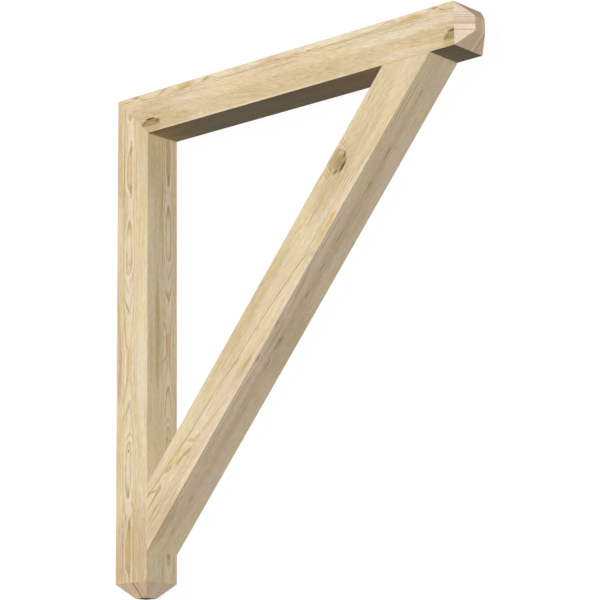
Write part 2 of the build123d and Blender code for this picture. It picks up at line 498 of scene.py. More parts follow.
# %% The beam: a golden strip along its top edge
WOOD["top_beam"] = {
    "seed": 11.0,
    "pith": (85, 85),
    "ring": 5.2,
    "first_line": 56.5,
    "innermost": -0.55,
    "line": 1.2,
    "clear": [(50, 1), (57.5, 1), (64, 0.4), (80, 0.1)],
    "wander": (1.2, 1.2, 1.2),
    "lean": 0.0,
    "slant": -9,
    # Painted shade: the right face, which is the beam's underside, is made darker and cooler.
    "right_face_painted_shading": (0.81, 0.84, 0.9),
    # Painted shade: the square end and the left bevel of the beam's block end are darkened.
    "end_painted_shade": (0.84, 0.82),
    "swell": [(0, 0), (1016, 0)],
    "drift": [
        (0, 8), (18, 17), (32, 4), (60, 2), (85, 4), (102, 14), (122, 16), (143, 3), (200, 3), (240, 7),
        (256, 12), (278, 5), (305, 0), (380, 0), (425, 2), (455, 4), (485, 3), (515, 5), (545, 2),
        (565, 3), (605, 1), (680, 0), (740, 2), (780, 7), (800, 13), (818, 12), (836, 3), (890, 3),
        (908, 9), (925, 16), (945, 8), (958, 4), (985, 2),
    ],
    # Painted light: the pale of the end faces other than the upward bevel is lighter, for the bevel below.
    "end_colours": ("#EEDCC6", "#FEE4C4", "#C08E5C"),
    "near_bands": [
        (-51, 0.1), (-19, 0.05), (-17, 0.4), (-15, 0.45), (-13, 0.0), (-4, 0.0), (-3, 0.05), (-2, 0.55),
        (4, 0.38), (11, 0.25), (13, 0.2), (14, 0.55), (16, 0.1), (19, 0.4), (21, 0.05), (24, 0.35),
        (26, 0.1), (51, 0.2),
    ],
    "end_bands": [
        (0, 0.1), (9, 0.15), (13, 0), (18, 0.35), (24, 0.05), (29, 0.4), (35, 0.35), (40, 0), (44, 0.05),
        (48, 0.3), (58, 0.25), (80, 0.2), (101, 0.15),
    ],
    "knots": [((61, -45), (33, 28)), ((973, -45), (22, 28))],
    "zones": {
        ("near", EARLYWOOD_YELLOW): [(150, -26, 950, -26, 28, 0.6), (330, 6, 980, 4, 17, 0.7)],
        ("near", EARLYWOOD_TAN): [
            (150, -24, 860, -24, 30, 0.6), (-40, -14, 160, -28, 42, 0.9), (70, -30, 220, -32, 20, 0.8),
            (790, -12, 1060, -22, 26, 0.65), (60, -44, 1000, -44, 14, 0.35),
        ],
        ("near", RING_PALE): [
            (110, 14, 290, 8, 10, 0.5), (660, 14, 940, 10, 14, 0.6), (100, 45, 480, 45, 8, 0.6),
            (440, 44, 980, 44, 9, 0.7), (760, -38, 950, -38, 10, 0.3),
        ],
        ("near", RING_PINK): [
            (34, 42, 90, 42, 7, 0.6), (112, 40, 142, 42, 7, 0.5), (200, 8, 330, 4, 9, 0.4),
        ],
    },
    "marks": {
        ("near", RING_PALE): [
            # The stroke along the lower edge, at -48, is a painted highlight of the eased edge catching
            # light.
            (85, 27, 560, 26, 1.7, 0.55), (530, 26, 990, 27, 1.7, 0.55), (55, -48, 785, -48, 2, 0.6),
        ],
        ("near", LATEWOOD): [
            (90, 23, 240, 21, 1.5, 0.3), (400, 21, 560, 19, 1.5, 0.4), (600, 21, 700, 20, 1.4, 0.3),
            (780, 22, 990, 24, 1.4, 0.3), (325, 45, 353, 46, 2, 0.5), (270, 35, 470, 34, 1.6, 0.3),
            (560, 34, 790, 36, 1.6, 0.3), (20, 40, 62, 32, 1.8, 0.5), (488, 33, 556, 34, 1.6, 0.4),
            (452, -1, 468, -5, 2, 0.5), (466, -25, 492, -31, 2, 0.5), (516, -21, 528, -24, 2, 0.5),
            (552, -26, 574, -30, 2.2, 0.45), (612, -18, 642, -26, 2, 0.5), (636, -22, 646, -25, 2, 0.4),
            (744, -7, 762, -12, 2, 0.5), (862, -8, 876, -15, 2, 0.5), (870, -17, 892, -22, 2, 0.5),
        ],
        ("near", PITCH_YELLOW): [
            (140, 40, 212, 43, 10, 0.7), (225, 41, 268, 44, 7, 0.6), (18, 43, 34, 36, 5, 0.6),
            (405, 36, 458, 38, 4, 0.6), (510, 37, 536, 38, 4, 0.6), (572, 39, 602, 35, 4, 0.5),
            (776, 40, 818, 42, 7, 0.6), (828, 39, 908, 38, 9, 0.7),
        ],
        ("near", PITCH_ORANGE): [(150, 38, 203, 40, 4.5, 0.4), (860, 42, 896, 38, 5, 0.5)],
        ("near", PITCH_BROWN): [
            (-2, 47, 20, 46, 4, 0.5), (86, 38, 116, 49, 4, 0.45), (146, 34, 180, 35, 2.6, 0.5),
            (232, 39, 258, 46, 4, 0.5), (460, 38, 480, 35, 2, 0.7), (561, 35, 573, 36, 2.2, 0.7),
            (920, 49, 941, 44, 4.5, 0.6), (939, 43, 960, 34, 2.4, 0.5),
        ],
        ("near", KNOT_TAN): [(28, -40, 96, -40, 18, 0.7), (948, -40, 1012, -40, 17, 0.75)],
        ("near", KNOT_BROWN): [(30, -26, 92, -26, 10, 0.85), (954, -27, 1012, -27, 11, 0.8)],
        ("near", KNOT_DARK): [
            (38, -18.5, 82, -18.5, 3.4, 0.9), (27, -32, 46, -23, 6.5, 0.8), (74, -21, 94, -31, 6, 0.75),
            (962, -17, 1002, -16, 4, 0.9), (954, -34, 970, -20, 5, 0.6),
        ],
        ("near", KNOT_RIM): [(44, -17, 74, -17, 2.8, 1.0), (967, -15, 1002, -15, 2.2, 0.8)],
    },
}
print("the beam's pith drifts at", len(WOOD["top_beam"]["drift"]), "stations")

# %% [markdown]
# The brace was cut at a slant to its pith, so one strong ring line runs from corner to corner: here
# the drift grows steadily along the timber. A knot sits on its inner edge, high up, and a tongue of
# pitch hangs on the line near the foot.

# %% The brace: one long line from corner to corner
WOOD["diagonal_brace"] = {
    "seed": 7.0,
    "pith": (-85, 85),
    "ring": 6.2,
    "first_line": 119,
    "innermost": -0.55,
    "line": 1.05,
    "clear": [(110, 1), (121, 1), (129, 0.7), (140, 0.1)],
    "wander": (1.2, 1.2, 1.2),
    "lean": 0.0,
    "slant": -3,
    # Painted light: the right face, which is the brace's outer face, is made lighter.
    "right_face_painted_shading": (1.13, 1.14, 1.18),
    "end_painted_shade": (1.0, 1.0),
    "swell": [(0, 0), (1215, 0)],
    "drift": [
        (0, -8), (50, 0), (120, 10), (200, 18), (300, 22), (380, 27), (440, 32), (500, 36), (600, 43),
        (700, 53), (745, 62), (860, 64), (1000, 71), (1100, 75), (1215, 78),
    ],
    "end_colours": ("#EEDBC5", "#EEDBC5", "#B98A68"),
    "near_bands": [(-51, 0.2), (51, 0.2)],
    "end_bands": [(0, 0.2), (101, 0.2)],
    "knots": [((952, 40), (31, 35))],
    "zones": {
        ("near", EARLYWOOD_YELLOW): [(150, 40, 860, 38, 22, 0.9), (440, -14, 760, -20, 9, 0.6)],
        ("near", EARLYWOOD_PINK): [(-60, -30, 450, -30, 28, 0.7), (400, -46, 790, -50, 14, 0.7)],
        ("near", EARLYWOOD_TAN): [
            (310, 34, 780, 32, 22, 0.6), (790, 14, 1070, 6, 26, 0.7), (930, -8, 1140, -14, 13, 0.5),
            (970, 22, 1200, 8, 32, 0.35),
        ],
        ("near", EARLYWOOD_BUFF): [(-80, -22, 130, -30, 34, 0.6)],
        ("near", RING_PALE): [
            (60, -42, 360, -44, 7, 0.4), (560, -40, 740, -46, 5, 0.4), (100, 40, 260, 42, 12, 0.3),
            (170, 4, 340, -6, 14, 0.5), (100, 17, 430, 17, 8, 0.35), (590, -15, 960, -20, 8, 0.45),
        ],
        ("near", RING_PINK): [(240, -6, 430, -16, 10, 0.5), (80, 4, 118, -4, 9, 0.5)],
        ("right", EARLYWOOD_PINK): [(-80, 62, 1290, 62, 44, 0.55)],
        ("right", RING_PALE): [(200, 90, 640, 90, 13, 0.5), (560, 88, 1250, 88, 13, 0.35)],
        ("right", EARLYWOOD_TAN): [
            (-60, 54, 1270, 54, 18, 0.55), (-60, 92, 90, 90, 14, 0.5), (880, 80, 1050, 84, 16, 0.3),
            (400, 22, 640, 22, 34, 0.45),
        ],
    },
    "marks": {
        ("near", EARLYWOOD_YELLOW): [(980, -30, 1240, -40, 14, 0.7)],
        ("near", RING_PALE): [(460, -26, 1000, -34, 2, 0.5)],
        ("near", LATEWOOD): [
            (30, 33, 132, 21, 1.9, 0.65), (100, 26, 250, 12, 1.9, 0.7), (190, 15, 395, 6, 1.8, 0.7),
            (360, 8, 448, -6, 1.8, 0.7), (440, -1, 560, -8, 1.6, 0.45), (540, -8, 725, -25, 1.8, 0.55),
            (680, -19, 765, -34, 2, 0.7), (780, 12, 898, 11, 4, 0.35), (245, -17, 352, -31, 2.2, 0.5),
            (240, -25, 365, -36, 1.8, 0.45), (80, -20, 250, -27, 1.5, 0.45),
            (110, -15, 240, -19, 1.4, 0.4), (70, -26, 230, -33, 1.5, 0.45),
            (100, -33, 300, -42, 1.5, 0.4), (290, -2, 318, -5, 2.4, 0.5), (1100, 37, 1165, 41, 2.4, 0.6),
            (-10, -8, 56, -10, 2, 0.65), (1010, 5, 1110, -2, 2.4, 0.4), (913, 47, 903, 24, 1.6, 0.75),
            (920, 47, 911, 22, 1.6, 0.75), (1000, 46, 994, 26, 1.6, 0.75), (994, 48, 987, 26, 1.6, 0.75),
        ],
        ("near", STAIN_PINK): [(211, 8, 227, -13, 4.5, 0.6)],
        ("near", RING_PINK): [(201, 6, 211, -13, 4.5, 0.9)],
        ("near", EARLYWOOD_GOLD): [(112, 17, 205, 6, 10, 0.85), (224, -6, 246, -16, 6, 0.6)],
        ("near", PITCH_YELLOW): [(750, -43, 862, -40, 8, 0.7)],
        ("near", PITCH_ORANGE): [(815, -42, 862, -39, 5, 0.5)],
        ("near", PITCH_BROWN): [
            (112, 20, 140, 10, 6, 0.5), (138, 3, 200, -7, 4, 0.5), (172, -3, 208, -13, 5, 0.65),
            (216, -9, 250, -14, 3, 0.3), (418, 0, 446, -7, 2.6, 0.5), (524, -12, 538, -13, 2.6, 0.55),
            (400, -32, 499, -36, 3.2, 0.5), (480, -36, 570, -44, 2, 0.3), (740, -36, 756, -52, 7, 0.25),
        ],
        ("near", KNOT_TAN): [
            (921, 34, 983, 34, 27, 0.95), (6, 10, 86, 11, 3.4, 1.0), (56, 11, 88, 12, 6, 0.9),
            (26, 31, 58, 28, 2.6, 0.95), (48, 29, 70, 14, 3, 1.0),
        ],
        ("near", KNOT_BROWN): [(926, 20, 978, 20, 13, 0.6)],
        ("near", KNOT_DARK): [
            (928, 8.5, 974, 8.5, 3.2, 0.8), (920, 22, 938, 12, 4, 0.7), (964, 12, 984, 24, 4.4, 0.75),
            (921, 20, 930, 44, 1.8, 0.5), (981, 20, 974, 44, 1.8, 0.5),
        ],
        ("near", KNOT_RIM): [(932, 5.5, 970, 5.5, 2.4, 1.0)],
        ("right", PITCH_BROWN): [(496, 60, 546, 60, 7, 0.5)],
        ("right", KNOT_BROWN): [
            # The two long strokes at 101 along the top edge are painted shade of the eased edge; the rest are
            # flecks.
            (-120, 101, 520, 101, 2.2, 0.5), (430, 101, 1290, 101, 1.8, 0.4), (-10, 57, 20, 57, 2.4, 0.5),
            (76, 56, 114, 57, 2.4, 0.5), (452, 56, 482, 57, 2.4, 0.5), (640, 57, 672, 57, 2.4, 0.5),
            (712, 58, 746, 57, 2.4, 0.5), (786, 58, 832, 57, 2.4, 0.5), (916, 57, 958, 56, 2.4, 0.6),
            (1006, 57, 1048, 57, 3, 0.6), (1168, 58, 1192, 58, 3, 0.5), (464, 97, 486, 97, 4, 0.6),
            (556, 97, 580, 97, 4, 0.6),
        ],
        ("right", LATEWOOD): [
            (160, 91, 350, 89, 1.9, 0.75), (180, 84, 340, 82, 1.9, 0.7), (320, 94, 480, 84, 1.9, 0.75),
            (320, 88, 460, 78, 1.9, 0.7), (440, 86, 610, 83, 1.9, 0.75), (450, 79, 600, 78, 1.9, 0.7),
            (585, 83, 740, 97, 1.9, 0.75), (590, 78, 720, 90, 1.9, 0.7), (710, 91, 880, 88, 1.9, 0.7),
            (1000, 93, 1240, 91, 1.9, 0.65), (1040, 84, 1240, 82, 1.9, 0.65),
            (450, 93, 620, 92, 1.7, 0.6),
        ],
    },
}
for name, wood in WOOD.items():
    print(name, "has", len(wood["knots"]), "knots and", sum(map(len, wood["marks"].values())), "marks")

# %% [markdown]
# The faces at the back meet the rings squarely. There a timber shows long straight lines, close
# together for slow years and wide apart for fast ones, over broad bands of tan. That is a rule, so
# these strokes are drawn by chance, from a fixed seed.

# %% Straight grain at the back
BACK_FACES = {"wall_post": "right", "top_beam": "left", "diagonal_brace": "left"}
BACK_GRAIN = {
    "zones": {"tint": EARLYWOOD_TAN, "gap": (26, 44), "width": (9, 18), "strength": (0.5, 0.9)},
    "marks": {"tint": LATEWOOD, "gap": (4, 13), "width": (1.3, 2.8), "strength": (0.5, 0.9)},
}
STARTS_AT, ENDS_AT = (-0.1, 0.4), (0.6, 1.1)
LEANS_BY = (-3, 3)
TOP_OF_GRAIN = 0.95 * stock / MM


def straight_grain(chance, length, grain):
    """Strokes along a face that is cut square to the rings, from its lower edge up."""
    strokes = []
    up = chance.uniform(*grain["gap"]) / 2
    width = chance.uniform(*grain["width"])
    while up + width < TOP_OF_GRAIN:
        start = chance.uniform(*STARTS_AT) * length
        end = chance.uniform(*ENDS_AT) * length
        lean = chance.uniform(*LEANS_BY)
        strength = chance.uniform(*grain["strength"])
        strokes.append((start, up, end, up + lean, width, strength))
        up += chance.uniform(*grain["gap"])
        width = chance.uniform(*grain["width"])
    return strokes


for name, face in BACK_FACES.items():
    chance = random.Random(int(WOOD[name]["seed"]))
    for layer, grain in BACK_GRAIN.items():
        strokes = straight_grain(chance, TIMBERS[name]["length"] / MM, grain)
        WOOD[name][layer][face, grain["tint"]] = strokes
        print(name, "has", len(strokes), layer, "on its", face, "face")

# %% [markdown]
# ## Measures and noise
#
# The material first turns object coordinates into the timber's own measures. A Mapping node does
# that, because the export keeps it, where a second object as the origin would be lost.
#
# Most of what wood shows is drawn out along the grain. So each layer of noise is given by two real
# sizes, how long its features are and how wide, in millimetres. Real fibres are far finer than a
# pixel, so they are drawn about 2 mm wide, which gives the eye the same roughness. A layer's `levels`
# turn its noise into a share or a shade: two values of the noise, and what the layer gives at each.

# %% Layers of the grain
GRAIN = {
    "slow_wander": {"size": (190, 60), "detail": 2.0, "seed": 0.0},
    "quick_wander": {"size": (26, 8), "detail": 2.0, "seed": 0.5},
    "ragged_rims": {"size": (18, 5), "detail": 3.0, "seed": 7.0},
    "patches": {"size": (45, 5), "detail": 2.0, "seed": 9.0, "levels": (0.32, 0.6, 0.6, 1.05)},
    "faint_lines": {"size": (70, 14), "detail": 2.0, "seed": 5.0, "levels": (0.3, 0.6, 0.5, 1.0)},
    "pink_clouds": {"size": (120, 30), "detail": 3.0, "seed": 1.0, "levels": (0.36, 0.64, 0.0, 1.0)},
    "tan_clouds": {"size": (210, 45), "detail": 2.0, "seed": 2.0, "levels": (0.45, 0.75, 0.0, 0.6)},
    "streaks": {"size": (130, 6), "detail": 2.0, "seed": 3.0, "levels": (0.3, 0.7, 0.955, 1.03)},
    "dashes": {"size": (13, 2.8), "detail": 2.0, "seed": 8.0, "levels": (0.62, 0.7, 1.0, 0.88)},
    "fibres": {"size": (15, 2.1), "detail": 3.0, "seed": 4.0, "levels": (0.25, 0.75, 0.885, 1.09)},
}
SMOOTH = {"interpolation_type": "SMOOTHSTEP"}


def timber_measures(tree, timber):
    """Object coordinates as along, across and up of one timber, in metres."""
    turned = Matrix.Rotation(-timber["turn"], 3, "Z")
    coordinates = add_node(tree, "ShaderNodeTexCoord")
    return add_node(
        tree, "ShaderNodeMapping",
        {
            "Vector": coordinates.outputs["Object"],
            "Location": -(turned @ timber["start"]),
            "Rotation": (0, 0, -timber["turn"]),
        },
        vector_type="POINT",
    )


def grain_layer(tree, place, wood, name, slant=0):
    """The noise of one layer, drawn out along the fibres, and what its levels make of it."""
    layer = GRAIN[name]
    length, width = (size * MM for size in layer["size"])
    stretched = add_node(
        tree, "ShaderNodeMapping",
        {"Vector": place, "Rotation": (0, 0, math.radians(slant)), "Scale": (length, width, width)},
        vector_type="TEXTURE",
    )
    noise = add_node(
        tree, "ShaderNodeTexNoise",
        {"Vector": stretched, "W": wood["seed"] + layer["seed"], "Scale": 1.0, "Detail": layer["detail"]},
        noise_dimensions="4D",
    )
    if "levels" not in layer:
        return noise, None
    levels = dict(enumerate(layer["levels"], 1))
    return noise, add_node(tree, "ShaderNodeMapRange", {0: noise, **levels}, **SMOOTH)


print("the grain has", len(GRAIN), "layers, down to", min(g["size"][1] for g in GRAIN.values()), "mm wide")

# %% [markdown]
# Three more helpers are sums of nodes that come back again and again: a vector that strays about
# zero, which makes edges ragged; a bell that is 1 in the middle of something and fades around it; and
# a smooth curve through the stations of a list.

# %% Wavering, bells and curves
NOISE_MIDDLE = (0.5, 0.5, 0.5)


def wavering(tree, noise, reach):
    """The three channels of a noise as a vector that strays from zero, up to half its reach each way."""
    parts = add_node(tree, "ShaderNodeSeparateColor", {"Color": noise.outputs["Color"]}).outputs
    vector = add_node(
        tree, "ShaderNodeCombineXYZ", {"X": parts["Red"], "Y": parts["Green"], "Z": parts["Blue"]},
    )
    centred = add_node(tree, "ShaderNodeVectorMath", {0: vector, 1: NOISE_MIDDLE}, operation="SUBTRACT")
    return add_node(tree, "ShaderNodeVectorMath", {0: centred, 1: reach}, operation="MULTIPLY")


def bell(tree, distance, reach):
    """Falls smoothly from 1 at no distance to nearly nothing at twice the reach."""
    share = add_node(tree, "ShaderNodeMath", {0: distance, 1: reach}, operation="DIVIDE")
    square = add_node(tree, "ShaderNodeMath", {0: share, 1: share}, operation="MULTIPLY")
    minus = add_node(tree, "ShaderNodeMath", {0: square, 1: -1.0}, operation="MULTIPLY")
    return add_node(tree, "ShaderNodeMath", {0: minus}, operation="EXPONENT")


def curve_through(tree, value, stations):
    """A smooth curve through stations of (place in millimetres, height)."""
    first, last = stations[0][0], stations[-1][0]
    heights = [height for _, height in stations]
    lowest, span = min(heights), max(max(heights) - min(heights), MM)
    share = add_node(tree, "ShaderNodeMapRange", {0: value, 1: first * MM, 2: last * MM})
    curve = add_node(tree, "ShaderNodeFloatCurve", {"Value": share})
    points = curve.mapping.curves[0].points
    # A new curve has its two end points, so the others are added between them and then moved.
    for _ in stations[2:]:
        points.new(0.5, 0.5)
    for point, (at, height) in zip(points, stations):
        point.location = ((at - first) / (last - first), (height - lowest) / span)
        point.handle_type = "AUTO_CLAMPED"
    curve.mapping.update()
    return add_node(tree, "ShaderNodeMath", {0: curve, 1: span, 2: lowest}, operation="MULTIPLY_ADD")


print("at twice its reach a bell has fallen to", round(math.exp(-(2 ** 2)), 3))

# %% [markdown]
# A stroke is a spindle of stained wood: a long ellipsoid with its axis on a face of the timber. One
# number describes it at every point, the distance from its heart, where 1 is its surface. Noise added
# before that distance is taken makes its rim ragged.

# %% Spindles
def on_face(face, along, aside):
    """A place on a face, in metres: aside is across on the near face, and up on the left and right ones."""
    if face == "near":
        return Vector((along * MM, aside * MM, stock))
    return Vector((along * MM, stock / 2 if face == "left" else -stock / 2, aside * MM))


def spindle(tree, place, ragged, start, end, width):
    """A point's distance from the heart of a long ellipsoid in the wood, where 1 is its surface."""
    axis, heart, radius = end - start, (start + end) / 2, width * MM
    shorten = 2 * radius / axis.length - 1
    wide = add_node(
        tree, "ShaderNodeVectorMath", {0: place, 1: (1 / radius,) * 3, 2: -heart / radius},
        operation="MULTIPLY_ADD",
    )
    along = add_node(tree, "ShaderNodeVectorMath", {0: wide, 1: axis.normalized()}, operation="PROJECT")
    shaped = add_node(
        tree, "ShaderNodeVectorMath", {0: along, 1: (shorten,) * 3, 2: wide}, operation="MULTIPLY_ADD",
    )
    torn = add_node(tree, "ShaderNodeVectorMath", {0: shaped, 1: ragged}, operation="ADD")
    return add_node(tree, "ShaderNodeVectorMath", {0: torn}, operation="LENGTH").outputs["Value"]


for face in ("near", "left", "right"):
    print("strokes on the", face, "face are counted from", [round(c / MM, 1) for c in on_face(face, 0, 0)])

# %% [markdown]
# ## Rings
#
# The distance from the pith is bent before it is counted in rings. The stem wanders a little, the
# pith drifts sideways along the timber, and the stem swells and narrows. Where the swelling has a low
# point under a face, that face shows a closed loop. Around a knot the rings climb, and their lines
# flow past it. The drift belongs to the wood near the face that the bracket shows, so it fades
# towards the bottom.

# %% Distance from the pith
KNOT_LIFT = 14 * MM
KNOT_REACH = 1.4
DRIFT_FADE = {1: 0.4 * stock, 2: 0.9 * stock}


def ring_distance(tree, place, wood, knots):
    """Distance from the pith in metres, as the rings would measure it."""
    slow_across, slow_up, quick = (value * MM for value in wood["wander"])
    reaches = {"slow_wander": (0, slow_across, slow_up), "quick_wander": (0, quick, quick)}
    pith = Vector((0, *wood["pith"])) * MM
    centred = add_node(tree, "ShaderNodeVectorMath", {0: place, 1: pith}, operation="SUBTRACT")
    for name, reach in reaches.items():
        noise, _ = grain_layer(tree, place, wood, name)
        offset = wavering(tree, noise, reach)
        centred = add_node(tree, "ShaderNodeVectorMath", {0: centred, 1: offset}, operation="ADD")
    parts = add_node(tree, "ShaderNodeSeparateXYZ", {0: centred}).outputs

    ahead = add_node(
        tree, "ShaderNodeMath", {0: parts["Y"], 1: wood["lean"], 2: parts["X"]}, operation="MULTIPLY_ADD",
    )
    up = add_node(tree, "ShaderNodeSeparateXYZ", {0: place}).outputs["Z"]
    nearness = add_node(tree, "ShaderNodeMapRange", {0: up, **DRIFT_FADE}, **SMOOTH)
    drift = curve_through(tree, ahead, wood["drift"])
    drift = add_node(tree, "ShaderNodeMath", {0: drift, 1: nearness}, operation="MULTIPLY")
    away = math.copysign(MM, -wood["pith"][0])
    across = add_node(tree, "ShaderNodeMath", {0: drift, 1: away, 2: parts["Y"]}, operation="MULTIPLY_ADD")
    section = add_node(tree, "ShaderNodeCombineXYZ", {"Y": across, "Z": parts["Z"]})
    distance = add_node(tree, "ShaderNodeVectorMath", {0: section}, operation="LENGTH").outputs["Value"]
    swell = curve_through(tree, ahead, wood["swell"])
    distance = add_node(tree, "ShaderNodeMath", {0: swell, 1: MM, 2: distance}, operation="MULTIPLY_ADD")
    for knot_share in knots:
        rise = bell(tree, knot_share, KNOT_REACH)
        distance = add_node(
            tree, "ShaderNodeMath", {0: rise, 1: -KNOT_LIFT, 2: distance}, operation="MULTIPLY_ADD",
        )
    return distance


print(f"a knot lifts rings by {KNOT_LIFT / MM:.0f} mm, and drift fades below {DRIFT_FADE[2] / MM:.0f} mm")

# %% [markdown]
# Within a ring the wood starts pale, darkens slowly, and ends in a thin line of latewood, after which
# the next ring starts pale again. Some years leave a strong line and some a faint one, so each ring
# draws its own strength. Lines are clear near the figure and around knots, and fade further out,
# where the saw meets the rings steeply.

# %% Ring lines
PALE_START = {1: 0.0, 2: 0.45, 3: 0.8, 4: 0.0}
LATE_END = {1: 0.5, 2: 0.92, 3: 0.0, 4: 0.9}
YEARS = {3: 0.65, 4: 1.0}
INSIDE_FIRST_LINE = {1: 0.05, 2: -0.1}
KNOT_RING, KNOT_RING_WIDTH = 1.2, 0.25


def ring_tones(tree, place, distance, wood, knots):
    """Shares of pale wood and of latewood at a point, and whether it lies inside the first line."""
    first_line, ring = wood["first_line"] * MM, wood["ring"] * MM
    counted = add_node(tree, "ShaderNodeMath", {0: distance, 1: first_line}, operation="SUBTRACT")
    counted = add_node(tree, "ShaderNodeMath", {0: counted, 1: ring}, operation="DIVIDE")
    counted = add_node(tree, "ShaderNodeMath", {0: counted, 1: wood["innermost"]}, operation="MAXIMUM")
    clear = curve_through(tree, distance, wood["clear"])
    for knot_share in knots:
        beside = add_node(tree, "ShaderNodeMath", {0: knot_share, 1: KNOT_RING}, operation="SUBTRACT")
        around = bell(tree, beside, KNOT_RING_WIDTH)
        clear = add_node(tree, "ShaderNodeMath", {0: clear, 1: around}, operation="MAXIMUM")

    number = add_node(tree, "ShaderNodeMath", {0: counted, 1: wood["seed"]}, operation="ADD")
    number = add_node(tree, "ShaderNodeMath", {0: number}, operation="FLOOR")
    chance = add_node(tree, "ShaderNodeTexWhiteNoise", {"W": number}, noise_dimensions="1D")
    contrast = add_node(tree, "ShaderNodeMapRange", {0: chance.outputs["Value"], **YEARS}, **SMOOTH)
    _, faint = grain_layer(tree, place, wood, "faint_lines")
    for strength in (faint, clear, wood["line"]):
        contrast = add_node(tree, "ShaderNodeMath", {0: contrast, 1: strength}, operation="MULTIPLY")

    within = add_node(tree, "ShaderNodeMath", {0: counted}, operation="FRACT")
    tones = []
    for part in (PALE_START, LATE_END):
        tone = add_node(tree, "ShaderNodeMapRange", {0: within, **part}, **SMOOTH)
        tones.append(add_node(tree, "ShaderNodeMath", {0: tone, 1: contrast}, operation="MULTIPLY"))
    inside = add_node(tree, "ShaderNodeMapRange", {0: counted, **INSIDE_FIRST_LINE}, **SMOOTH)
    return *tones, inside


print("a ring is pale up to", PALE_START[2], "of its width, and latewood sets in from", LATE_END[1])

# %% [markdown]
# ## Zones and marks
#
# All strokes of one tint are laid down together: where several meet, the strongest counts. A knot is
# built of them too. It is the root of a branch, with a tan heart, dark shoulders, and on one side the
# thin dark cap that bark has left. Pitch collects between rings, so yellow and orange pitch is held
# back by the first ring line.

# %% Zones and marks
STROKE_RIM = {1: 1.2, 2: 0.5}
TINTING = {"data_type": "RGBA"}


def stroked(tree, colour, place, strokes_by_tint, ragged, patchy, inside):
    """The colour with the strokes of each tint soaked into it."""
    for (face, tint), strokes in strokes_by_tint.items():
        soaked = 0.0
        for start_along, start_aside, end_along, end_aside, width, strength in strokes:
            start, end = on_face(face, start_along, start_aside), on_face(face, end_along, end_aside)
            depth = spindle(tree, place, ragged, start, end, width)
            share = add_node(tree, "ShaderNodeMapRange", {0: depth, **STROKE_RIM, 4: strength}, **SMOOTH)
            soaked = add_node(tree, "ShaderNodeMath", {0: share, 1: soaked}, operation="MAXIMUM")
        soaked = add_node(tree, "ShaderNodeMath", {0: soaked, 1: patchy}, operation="MULTIPLY")
        if tint in (PITCH_YELLOW, PITCH_ORANGE):
            soaked = add_node(tree, "ShaderNodeMath", {0: soaked, 1: inside}, operation="MULTIPLY")
        tints = {"Factor": soaked, "A": colour, "B": linear(tint)}
        colour = add_node(tree, "ShaderNodeMix", tints, **TINTING)
    return colour


print("a stroke is whole within", STROKE_RIM[2], "of its radius and gone at", STROKE_RIM[1])

# %% [markdown]
# Where the saw cut across the fibres, on the block ends, the wood is pinker and its rings are bands.
# Which face a point lies on is told by its normal: how far it points up, along the timber, or to the
# right. By that, some faces get painted shade or painted light: the square and the left bevel of a
# block end are darkened, the bevel that faces up has a pale of its own, and the right face of each
# timber is darkened or lightened.

# %% End grain and painted shading
FACES_UP = {1: 0.3, 2: 0.6}
FACES_END = {1: 0.4, 2: 0.6}
FACES_SQUARE_END = {1: 0.85, 2: 0.97}
FACES_LEFT = {1: -0.2, 2: -0.6}
FACES_RIGHT = {1: 0.8, 2: 0.95}


def end_grain(tree, place, normal, facing, rightwards, wood):
    """The colour of the wood where it is cut across the fibres, with painted shade on some facets."""
    parts = add_node(tree, "ShaderNodeSeparateXYZ", {0: place}).outputs
    upwards = add_node(tree, "ShaderNodeSeparateXYZ", {0: normal}).outputs["Z"]
    near = add_node(tree, "ShaderNodeMapRange", {0: upwards, **FACES_UP}, **SMOOTH)
    bands = add_node(
        tree, "ShaderNodeMix",
        {
            "Factor": near,
            "A": curve_through(tree, parts["Z"], wood["end_bands"]),
            "B": curve_through(tree, parts["Y"], wood["near_bands"]),
        },
    )
    near_pale, pale, dark = (linear(tint) for tint in wood["end_colours"])
    colour = add_node(tree, "ShaderNodeMix", {"Factor": near, "A": pale, "B": near_pale}, **TINTING)
    colour = add_node(tree, "ShaderNodeMix", {"Factor": bands, "A": colour, "B": dark}, **TINTING)
    # Painted shade: the square end and the left bevel are darkened by these tones.
    square, left_bevel = wood["end_painted_shade"]
    shaded_end_faces = ((facing, FACES_SQUARE_END, square), (rightwards, FACES_LEFT, left_bevel))
    for direction, faces, tone in shaded_end_faces:
        tone = add_node(tree, "ShaderNodeMapRange", {0: direction, **faces, 3: 1.0, 4: tone}, **SMOOTH)
        colour = add_node(tree, "ShaderNodeVectorMath", {0: colour, "Scale": tone}, operation="SCALE")
    return colour


def paint_right_face_shading(tree, colour, rightwards, wood):
    """The colour, with painted shade or painted light on the right face of the timber."""
    share = add_node(tree, "ShaderNodeMapRange", {0: rightwards, **FACES_RIGHT}, **SMOOTH)
    tones = {"Factor": share, "A": (1, 1, 1, 1), "B": (*wood["right_face_painted_shading"], 1)}
    tone = add_node(tree, "ShaderNodeMix", tones, **TINTING)
    return add_node(tree, "ShaderNodeVectorMath", {0: colour, 1: tone}, operation="MULTIPLY")


for name, wood in WOOD.items():
    print(name, "is toned by", wood["right_face_painted_shading"], "on its right face")

# %% [markdown]
# ## Sawn fir, unfinished
#
# Rough-sawn softwood is low in contrast. Its colour is laid down as it grew: broad clouds of pink,
# yellow and tan, zones, the ring lines, and then the marks.

# %% The grown wood
RAGGED_REACH = (0.9, 1.1, 1.1)


